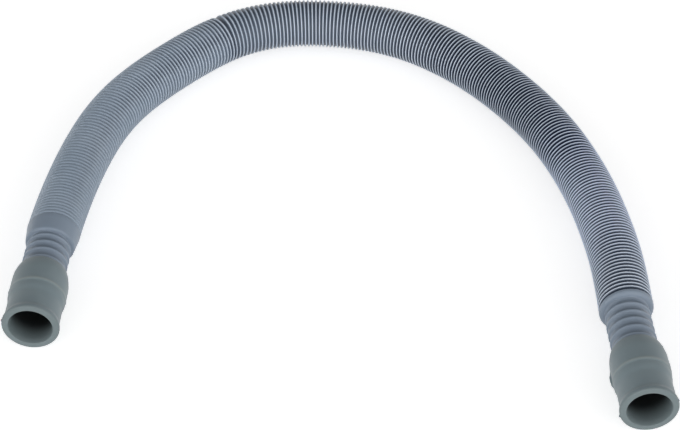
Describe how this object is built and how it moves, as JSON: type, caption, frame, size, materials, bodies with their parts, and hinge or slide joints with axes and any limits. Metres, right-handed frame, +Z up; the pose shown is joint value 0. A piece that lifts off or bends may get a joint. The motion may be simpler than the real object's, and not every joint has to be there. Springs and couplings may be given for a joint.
{
  "type": "extendable drain hose",
  "caption": "Extendable drain hose: a ring-pleated plastic bellows tube with a ringed neck and a moulded rubber socket cuff at each end, lying in an arch on the floor.",
  "frame": {"origin": "on the floor, below the middle of the object as it lies", "axes": "+Z up; +X from the left cuff to the right cuff; both sockets open towards -Y and the arch's top lies at +Y"},
  "size_m": [0.3445, 0.3353, 0.0305],
  "materials": {
    "hose_plastic": "satin blue-grey blow-moulded polypropylene",
    "cuff_rubber": "matt grey-green moulded rubber"
  },
  "bodies": {
    "root": {"bellows_hose": "hose_plastic", "left_cuff": "cuff_rubber", "right_cuff": "cuff_rubber"}
  },
  "joints": []
}
